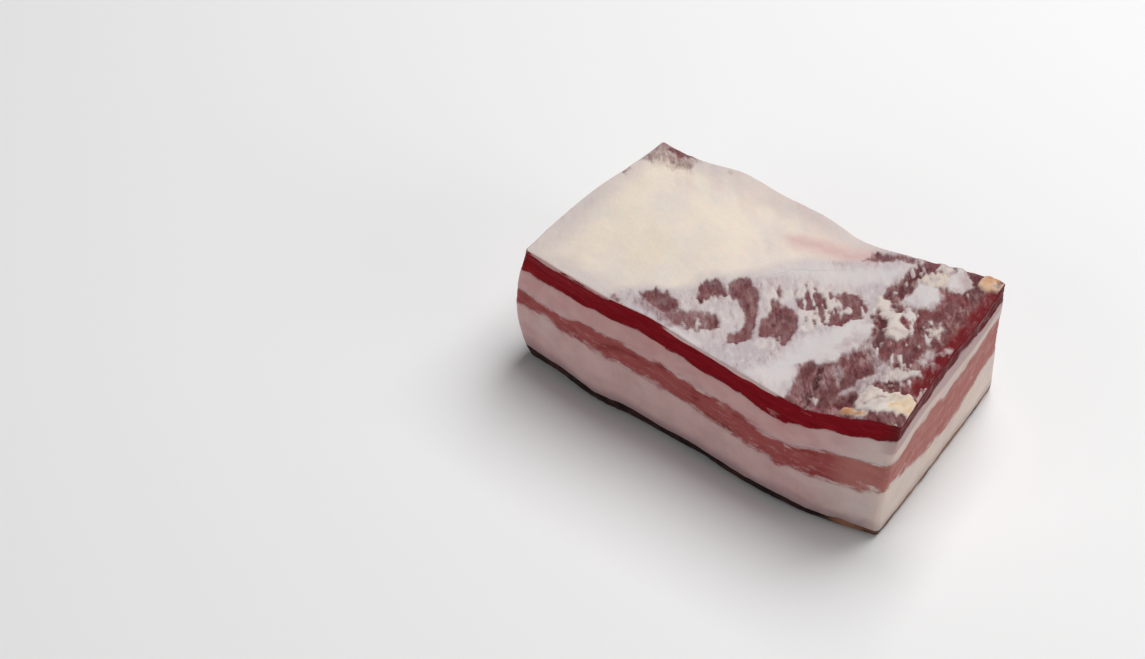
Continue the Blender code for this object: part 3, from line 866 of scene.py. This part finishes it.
def slab(name, plan, low, high, rows, skin):
    """A layer whose top shows: its wall bends inward at the rim on a quarter circle, and a
    grid closes it. The rim of the grid is the wall's last row."""
    angle = np.linspace(0.0, np.pi / 2.0, BENDS + 1)[1:]
    insets = np.concatenate([np.zeros(rows + 1), RIM * (1.0 - np.cos(angle))])
    drops = np.concatenate([np.full(rows + 1, RIM), RIM * (1.0 - np.sin(angle))])
    shares = np.concatenate([[0.0], np.linspace(0.0, 1.0, rows), np.ones(BENDS)])
    tucked = np.where(np.arange(len(shares)) == 0, TUCK, 0.0)
    stacks, plans = [], []
    for inset, drop, share, tuck in zip(insets, drops, shares, tucked):
        x, y = map(loop_of, plan(inset))
        floor, roof = low(x, y) - tuck, high(x, y) - drop
        plans.append(np.stack(round_corners(x, y), axis=-1))
        stacks.append(place(*plans[-1].T, floor + (roof - floor) * share))
    wall, spans, shares = np.stack(stacks), np.stack(plans), shares[:, None]
    along, x, y = run_along(wall), spans[..., 0], spans[..., 1]
    fade = np.cos(np.clip(insets / RIM, 0.0, 1.0) * np.pi / 2.0)[:, None]
    shift = skin(wall, along, np.broadcast_to(shares, wall.shape[:2]))
    wall = wall + outward(wall) * (shift * fade - tucked[:, None])[..., None]
    relief_on(wall, x, y, high(x, y), shares)
    bent = (insets[:, None] / RIM - 0.35) / 0.65
    at_seam = from_sides(x, y) > 1.0

    gx, gy = plan(RIM)
    sheet_plan = np.stack(round_corners(gx, gy), axis=-1)
    sheet = place(sheet_plan[..., 0], sheet_plan[..., 1], high(gx, gy))
    relief_on(sheet, gx, gy, high(gx, gy))
    grid = sheet_numbers(numbers_of(wall)[-1], wall[..., 0].size, *gx.shape)
    corners = grid[:-1, :-1], grid[1:, :-1], grid[1:, 1:], grid[:-1, 1:]
    faces, no_cone = np.stack(corners, axis=-1).reshape(-1, 4), np.zeros((0, 3), np.int64)
    top = sheet[1:-1, 1:-1].reshape(-1, 3), sheet_plan[1:-1, 1:-1].reshape(-1, 2), faces, no_cone
    return close_wall(name, wall, along, spans, top, low, onto_top=np.maximum(bent, at_seam))


def lean_plan(inset):
    """The whole plan, with its columns parted at the cover's edge, drawn in by an inset."""
    y = inset + (WIDTH - 2.0 * inset) * even_rows
    x = slab_columns(y).T
    return inset + (LENGTH - 2.0 * inset) * x / LENGTH, np.broadcast_to(y, x.shape)


def lean_roof(x, y):
    """The top of the upper lean: the bed under the cover, the chunk's top past it. Past the
    cover's edge it is 0.02 mm lower than the cover, so that the cover's round lip dips into it
    without a gap."""
    under = smooth((cap_edge(y) - RIM - x) / RIM)
    return top_height(x, y) - 0.02 - (top_height(x, y) - cap_bed(x, y) + 0.1) * under


CAP_COLUMNS, CAP_ROWS = 210, 170


def cap_plan(inset):
    """The plan of the cover: from the left end to its ragged edge."""
    y = inset + (WIDTH - 2.0 * inset) * np.linspace(0.0, 1.0, CAP_ROWS + 1)
    far = cap_edge(y) + RIM - inset
    x = inset + np.linspace(0.0, 1.0, CAP_COLUMNS + 1)[:, None] * (far - inset)
    return x, np.broadcast_to(y, x.shape)


upper_lean = slab("upper_lean_skin", lean_plan, upper_border, lean_roof, 26, lean_skin)
fat_cap = slab("fat_cap_skin", cap_plan, cap_bed, top_height, 5, fat_skin)


# %% [markdown]
# The finishes. Fat and lean are two tissues that run into each other, so both are node groups
# that give a colour and a height, and each piece mixes them with a mask that is stored on its
# points. The mask is how much lean covers a point, from 0 to 1, and a second one says how soft
# the border is. Fine noise shifts the mask, so the border is tattered far below the size of a
# face.

# %% Short names for making nodes
FIBRE_TURN = 0.93


def node(tree, kind, inputs=(), **settings):
    """A node of a kind with its settings, and its inputs joined to sockets or set to values."""
    made = tree.nodes.new(kind)
    for name, value in settings.items():
        setattr(made, name, value)
    for key, value in dict(inputs).items():
        if isinstance(value, bpy.types.NodeSocket):
            tree.links.new(value, made.inputs[key])
        else:
            made.inputs[key].default_value = value
    return made


def calc(tree, operation, *values, clamp=False):
    """One step of arithmetic on numbers or sockets."""
    inputs = dict(enumerate(values))
    return node(tree, "ShaderNodeMath", inputs, operation=operation, use_clamp=clamp).outputs[0]


def blend(tree, share, first, second):
    """A colour between two colours."""
    colours = [(*c, 1.0) if isinstance(c, tuple) and len(c) == 3 else c for c in (first, second)]
    inputs = {0: share, 6: colours[0], 7: colours[1]}
    return node(tree, "ShaderNodeMix", inputs, data_type="RGBA", clamp_factor=True).outputs[2]


def step(tree, value, start, end, low=0.0, high=1.0):
    """A smooth step of a value between start and end."""
    inputs = {"Value": value, "From Min": start, "From Max": end, "To Min": low, "To Max": high}
    return node(tree, "ShaderNodeMapRange", inputs, interpolation_type="SMOOTHSTEP").outputs["Result"]


def grain(tree, where, size, detail=3.0, roughness=0.55, distortion=0.0):
    """Noise from 0 to 1 whose lumps are about a size in millimetres."""
    inputs = {"Vector": where, "Scale": 1.0 / size, "Detail": detail, "Roughness": roughness}
    return node(tree, "ShaderNodeTexNoise", {**inputs, "Distortion": distortion}).outputs["Fac"]


def in_millimetres(tree, stretch=(1.0, 1.0, 1.0), turn=0.0):
    """Object coordinates in millimetres, turned about the upright and then stretched."""
    where = node(tree, "ShaderNodeTexCoord").outputs["Object"]
    turned = node(tree, "ShaderNodeMapping", {"Vector": where, "Rotation": (0.0, 0.0, turn)}).outputs[0]
    scale = tuple(1000.0 / s for s in stretch)
    return node(tree, "ShaderNodeMapping", {"Vector": turned, "Scale": scale}).outputs[0]


def mix_numbers(tree, share, first, second):
    """A number between two numbers."""
    return node(tree, "ShaderNodeMix", {0: share, 2: first, 3: second}, data_type="FLOAT").outputs[0]


def new_group(name, inputs, outputs):
    """An empty node group with named sockets. Returns the group, its inputs and outputs."""
    tree = bpy.data.node_groups.new(name, "ShaderNodeTree")
    for label, value in inputs.items():
        socket = tree.interface.new_socket(label, in_out="INPUT", socket_type="NodeSocketFloat")
        socket.default_value = value
    for label, kind in outputs.items():
        tree.interface.new_socket(label, in_out="OUTPUT", socket_type="NodeSocket" + kind)
    return tree, tree.nodes.new("NodeGroupInput").outputs, tree.nodes.new("NodeGroupOutput").inputs


# %% [markdown]
# Fat. The cover is cream with slow yellow and grey clouds. Where it thins out over lean it
# turns a cold lilac, in streaks; near crumbs and cuts it is tan; and on the cut sides it has
# a pink cast, which is painted light: the pink of light bounced and scattered into the fat's
# shade. Its darkening is painted shade in cracks and hollows, and darker fat towards the
# rind. Each of these is an input of the group.

# %% The fat group
CREAM, CREAM_GREY, CREAM_YELLOW = (0.79, 0.69, 0.595), (0.72, 0.64, 0.59), (0.80, 0.70, 0.52)
LILAC, LILAC_PALE, LILAC_DEEP = (0.52, 0.45, 0.465), (0.62, 0.575, 0.575), (0.40, 0.31, 0.34)
# The last colour of the next line darkens fat: painted shade in cracks and hollows, and the fat darker
# towards the rind.
TAN, ORANGE, DARK_FAT_AND_CRACK_SHADE = (0.66, 0.45, 0.29), (0.52, 0.24, 0.12), (0.36, 0.23, 0.245)
# The next line's pinks are the cover's own pink band and, on the cut sides, painted pink light bounced and
# scattered into the fat's shade; its rose is painted light only.
PINK_AND_PINK_LIGHT, PINK_AND_PINK_LIGHT_DEEP, ROSE_PAINTED_LIGHT = (0.65, 0.43, 0.42), (0.57, 0.36, 0.35), (0.58, 0.28, 0.27)

FAT_MASKS = ("Lilac", "Warm", "Pale", "Dark", "Fat_pink_and_pink_light")
tree, given, gives = new_group("fat", dict.fromkeys(FAT_MASKS, 0.0), {"Color": "Color", "Height": "Float"})
fat_group = tree
where = in_millimetres(tree)
clouds = step(tree, grain(tree, where, 11.0, 3.0), 0.38, 0.66)
colour = blend(tree, clouds, CREAM, CREAM_GREY)
colour = blend(tree, calc(tree, "MULTIPLY", given["Warm"], 1.6, clamp=True), colour, CREAM_YELLOW)
streaks = grain(tree, in_millimetres(tree, (3.6, 1.3, 3.0), FIBRE_TURN), 1.0, 4.0, 0.6, 0.6)
strong = step(tree, given["Lilac"], 0.4, 0.8)
light = calc(tree, "MULTIPLY", strong, step(tree, streaks, 0.50, 0.74))
deep = calc(tree, "MULTIPLY", strong, step(tree, streaks, 0.48, 0.28))
lilac = blend(tree, deep, blend(tree, light, LILAC, LILAC_PALE), LILAC_DEEP)
lilac = blend(tree, given["Pale"], lilac, LILAC_PALE)
colour = blend(tree, given["Lilac"], colour, lilac)
colour = blend(tree, step(tree, given["Warm"], 0.45, 1.0), colour, TAN)
colour = blend(tree, step(tree, given["Warm"], 0.9, 1.5), colour, ORANGE)
# On the cut sides this pink and the rose are painted light, bounced and scattered into the fat's shade; on
# the cover the pink is the fat's own.
pink = blend(tree, step(tree, grain(tree, where, 6.0, 4.0), 0.35, 0.7), PINK_AND_PINK_LIGHT, PINK_AND_PINK_LIGHT_DEEP)
colour = blend(tree, given["Fat_pink_and_pink_light"], colour, pink)
colour = blend(tree, step(tree, given["Fat_pink_and_pink_light"], 0.9, 1.7), colour, ROSE_PAINTED_LIGHT)
# Darker fat: painted shade in cracks and hollows, and the fat darker towards the rind.
colour = blend(tree, given["Dark"], colour, DARK_FAT_AND_CRACK_SHADE)
fine = grain(tree, where, 0.5, 4.0, 0.6)
speckle = step(tree, fine, 0.35, 0.7, 0.975, 1.015)
toned = node(tree, "ShaderNodeVectorMath", {0: colour, 1: speckle}, operation="MULTIPLY").outputs[0]
tree.links.new(toned, gives["Color"])
lumps = calc(tree, "MULTIPLY", grain(tree, where, 2.2, 3.0), 0.6)
tree.links.new(calc(tree, "MULTIPLY_ADD", fine, 0.25, lumps), gives["Height"])

# %% [markdown]
# Lean. On the sides the knife has cut along the muscle, so it shows long thin fibres: pink in
# the lower streak, and a deep clear red in the upper one, which dried from above. The top is
# the muscle's own dried face: mauve and brown, mottled, with short fibres. Its darkest colour
# is painted shade in cracks and hollows, and darker lean elsewhere.

# %% The lean group
PINK, PINK_PALE, PINK_DEEP = (0.35, 0.082, 0.080), (0.52, 0.24, 0.205), (0.25, 0.045, 0.045)
RED, RED_CLEAR, RED_DEEP = (0.225, 0.004, 0.010), (0.32, 0.010, 0.016), (0.13, 0.002, 0.005)
MAUVE, MAUVE_PALE, MAUVE_DEEP = (0.190, 0.072, 0.076), (0.37, 0.23, 0.215), (0.10, 0.030, 0.034)
# The darkest colour of lean: painted shade in cracks and hollows, and darker lean in the mottle and on the
# right end.
DARK_LEAN_AND_CRACK_SHADE = (0.055, 0.012, 0.014)

LEAN_MASKS = ("Red", "Mauve", "Pale", "Dark", "Along")
tree, given, gives = new_group("lean", dict.fromkeys(LEAN_MASKS, 0.0), {"Color": "Color", "Height": "Float"})
lean_group = tree
where = in_millimetres(tree)
up = node(tree, "ShaderNodeSeparateXYZ", {0: where}).outputs["Z"]
run = calc(tree, "DIVIDE", given["Along"], 5.0)
climb = calc(tree, "MULTIPLY_ADD", given["Along"], 0.16, up)
strand_at = node(tree, "ShaderNodeCombineXYZ", {"X": run, "Z": climb}).outputs[0]
strands = grain(tree, strand_at, 1.0, 5.0, 0.6, 0.9)
run, rise = calc(tree, "DIVIDE", given["Along"], 9.0), calc(tree, "DIVIDE", up, 3.5)
chunk_at = node(tree, "ShaderNodeCombineXYZ", {"X": run, "Z": rise}).outputs[0]
chunks = grain(tree, chunk_at, 1.0, 3.0, 0.5, 0.4)
pink = blend(tree, step(tree, strands, 0.50, 0.88), PINK, PINK_PALE)
pink = blend(tree, step(tree, chunks, 0.50, 0.30), pink, PINK_DEEP)
pink = blend(tree, given["Pale"], pink, PINK_PALE)
red = blend(tree, step(tree, chunks, 0.52, 0.75), RED, RED_CLEAR)
red = blend(tree, step(tree, strands, 0.48, 0.30), red, RED_DEEP)
mottle = grain(tree, in_millimetres(tree, (3.0, 1.2, 3.0), FIBRE_TURN), 1.0, 6.0, 0.66, 0.5)
veil = calc(tree, "MULTIPLY_ADD", given["Pale"], 0.75, 0.25)
mauve = blend(tree, calc(tree, "MULTIPLY", step(tree, mottle, 0.46, 0.62), veil), MAUVE, MAUVE_PALE)
mauve = blend(tree, step(tree, mottle, 0.48, 0.32), mauve, MAUVE_DEEP)
colour = blend(tree, given["Red"], pink, red)
colour = blend(tree, given["Mauve"], colour, mauve)
# The dark mask: painted shade in cracks and hollows, darker lean elsewhere.
colour = blend(tree, given["Dark"], colour, DARK_LEAN_AND_CRACK_SHADE)
tree.links.new(colour, gives["Color"])
side_height = calc(tree, "MULTIPLY", strands, 0.7)
dry_height = calc(tree, "MULTIPLY_ADD", grain(tree, where, 0.45, 3.0), 0.35, mottle)
tree.links.new(mix_numbers(tree, given["Mauve"], side_height, dry_height), gives["Height"])

# %% [markdown]
# The border between the two, and the flesh that mixes them. One material recipe serves every
# layer, with its own shine: fat scatters light inside itself and is satin, lean is darker and
# moist in patches.

# %% The border group and the flesh recipe
REACH = 3.2
tree, given, gives = new_group("ragged border", {"Lean": 0.0, "Soft": 0.2}, {"Mask": "Float"})
border_group = tree
where = in_millimetres(tree, (2.4, 0.9, 0.9), FIBRE_TURN)
frayed = calc(tree, "SUBTRACT", grain(tree, where, 1.1, 6.0, 0.78), 0.5)
reach = calc(tree, "MULTIPLY", given["Soft"], REACH)
shifted = calc(tree, "MULTIPLY_ADD", frayed, reach, given["Lean"])
start, end = calc(tree, "SUBTRACT", 0.5, given["Soft"]), calc(tree, "ADD", 0.5, given["Soft"])
tree.links.new(step(tree, shifted, start, end), gives["Mask"])


def stored(tree, name):
    """A number that is stored on the points of the piece."""
    return node(tree, "ShaderNodeAttribute", attribute_name=name).outputs["Fac"]


def placed_group(tree, group, masks):
    """A node group put into a material, each input joined to the stored mask of its name."""
    inputs = {mask: stored(tree, mask.lower()) for mask in masks}
    return node(tree, "ShaderNodeGroup", inputs, node_tree=group).outputs


def new_material(name, specular):
    """An empty material with a specular level. Returns it, its tree and its shader's inputs."""
    made = bpy.data.materials.new(name)
    made.use_nodes = True
    inputs = made.node_tree.nodes["Principled BSDF"].inputs
    inputs["Specular IOR Level"].default_value = specular
    return made, made.node_tree, inputs


def bump_into(tree, shader, height, strength, distance):
    """Bends the shader's normal by a height, over a distance in metres."""
    inputs = {"Height": height, "Strength": strength, "Distance": distance}
    tree.links.new(node(tree, "ShaderNodeBump", inputs).outputs["Normal"], shader["Normal"])


def flesh(name, scatter=0.25, depth=1.4, spread=(1.0, 0.42, 0.30)):
    """Fat and lean mixed by the stored masks, under one shader. Scatter says how much light
    goes into the flesh, depth how many millimetres deep, and spread how far each colour."""
    made, tree, shader = new_material(name, 0.03)
    mask = placed_group(tree, border_group, ("Lean", "Soft"))["Mask"]
    fat, lean = placed_group(tree, fat_group, FAT_MASKS), placed_group(tree, lean_group, LEAN_MASKS)
    tree.links.new(blend(tree, mask, fat["Color"], lean["Color"]), shader["Base Color"])
    bump_into(tree, shader, mix_numbers(tree, mask, fat["Height"], lean["Height"]), 0.6, 0.00035)
    patches = grain(tree, in_millimetres(tree), 3.0, 3.0)
    satin, damp = 0.5, step(tree, patches, 0.35, 0.65, 0.30, 0.54)
    tree.links.new(mix_numbers(tree, mask, satin, damp), shader["Roughness"])
    open_lean = calc(tree, "MULTIPLY", mask, stored(tree, "top"))
    wet = calc(tree, "MULTIPLY", open_lean, step(tree, patches, 0.6, 0.4, 0.0, 0.25))
    tree.links.new(wet, shader["Coat Weight"])
    shader["Coat Roughness"].default_value = 0.28
    shader["Subsurface Weight"].default_value = scatter
    shader["Subsurface Radius"].default_value = spread
    shader["Subsurface Scale"].default_value = depth * MM
    return made


# %% [markdown]
# The rind is pig skin, dried hard and dark brown with a rusty bloom, and its cut edge is
# ragged. Its underside is leathery, with pores and creases.

# %% The rind
RIND, RIND_RUSTY, RIND_TAN = (0.016, 0.007, 0.006), (0.050, 0.019, 0.013), (0.30, 0.14, 0.08)


def rind_leather(name):
    """Dark leather with rusty clouds, pores in the bump, and tan where the warm mask says."""
    made, tree, shader = new_material(name, 0.12)
    where = in_millimetres(tree)
    colour = blend(tree, step(tree, grain(tree, where, 5.0, 4.0), 0.42, 0.70), RIND, RIND_RUSTY)
    tree.links.new(blend(tree, stored(tree, "warm"), colour, RIND_TAN), shader["Base Color"])
    pores = node(tree, "ShaderNodeTexVoronoi", {"Vector": where, "Scale": 1.1}).outputs["Distance"]
    creases = grain(tree, in_millimetres(tree, (5.0, 1.2, 1.2), 0.4), 1.0, 5.0)
    bump_into(tree, shader, calc(tree, "MULTIPLY_ADD", pores, 0.5, creases), 0.7, 0.0005)
    tree.links.new(step(tree, creases, 0.3, 0.7, 0.42, 0.62), shader["Roughness"])
    return made


# %% [markdown]
# Each piece rides on the one body and stands for its solid, which is hidden. The rind is the
# skin of the back fat, so both stand for the same solid. Fat lets light in deeper than lean
# does, so the thick fat layers scatter more.

# %% Dress the pieces
WAXY = {"scatter": 0.6, "depth": 3.2, "spread": (1.0, 0.75, 0.6)}
dressed = (
    (rind, "lower_fat", rind_leather("rind leather")),
    (lower_fat, "lower_fat", flesh("back fat", **WAXY)),
    (lower_lean, "lower_lean", flesh("pink lean", scatter=0.2)),
    (upper_fat, "upper_fat", flesh("seam fat", **WAXY)),
    (upper_lean, "upper_lean", flesh("dark lean and marbling", scatter=0.12)),
    (fat_cap, "fat_cap", flesh("cream cover")),
)
for piece, node_name, material in dressed:
    piece.data.materials.append(material)
    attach(piece, "root")
    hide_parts(node_name)
print("dressed:", [material.name for _, _, material in dressed])

# %% [markdown]
# The stage: a pale floor, soft lights and the camera. The photograph was taken from the
# right, steeply from above, in even light, so a large soft window stands behind the chunk and
# two weak ones fill its front and its right end.

# %% Floor, lights and camera
floor_mesh = bpy.data.meshes.new("floor")
floor_mesh.from_pydata([(-3, -3, 0), (3, -3, 0), (3, 3, 0), (-3, 3, 0)], [], [(0, 1, 2, 3)])
floor = add_object("floor", floor_mesh)
floor_paint, _, floor_shader = new_material("pale floor", 0.1)
floor_shader["Base Color"].default_value = (0.86, 0.86, 0.86, 1.0)
floor_shader["Roughness"].default_value = 0.9
floor.data.materials.append(floor_paint)


def soft_light(name, where, size, power):
    """A square soft light at a place in metres, turned to the chunk's middle."""
    data = bpy.data.lights.new(name, "AREA")
    data.shape = "SQUARE"
    data.size = size
    data.energy = power
    lamp = add_object(name, data)
    lamp.location = where
    lamp.rotation_euler = (Vector((0, 0, 0.02)) - Vector(where)).to_track_quat("-Z", "Y").to_euler()


soft_light("window above and behind", (0.05, 0.45, 0.95), 0.8, 11.5)
soft_light("fill from the right", (0.9, 0.1, 0.35), 0.5, 2.0)
soft_light("fill from the front", (-0.3, -1.0, 0.4), 0.8, 2.9)
world = bpy.data.worlds.new("studio")
world.use_nodes = True
world.node_tree.nodes["Background"].inputs["Color"].default_value = (1.0, 1.0, 1.0, 1.0)
world.node_tree.nodes["Background"].inputs["Strength"].default_value = 0.06
bpy.context.scene.world = world
bpy.context.scene.view_settings.view_transform = "Standard"

camera_data = bpy.data.cameras.new("camera")
camera_data.sensor_width = 36.0
camera_data.lens = 69.17
camera_data.clip_start = 0.01
camera_data.clip_end = 20.0
camera = add_object("camera", camera_data)
camera.location = Vector((248.712 - BOX_MIDDLE[0], -320.005 - BOX_MIDDLE[1], 415.355)) * MM
look = Vector((-0.4186, 0.570, -0.7071))
camera.rotation_euler = look.to_track_quat("-Z", "Y").to_euler()
bpy.context.scene.camera = camera
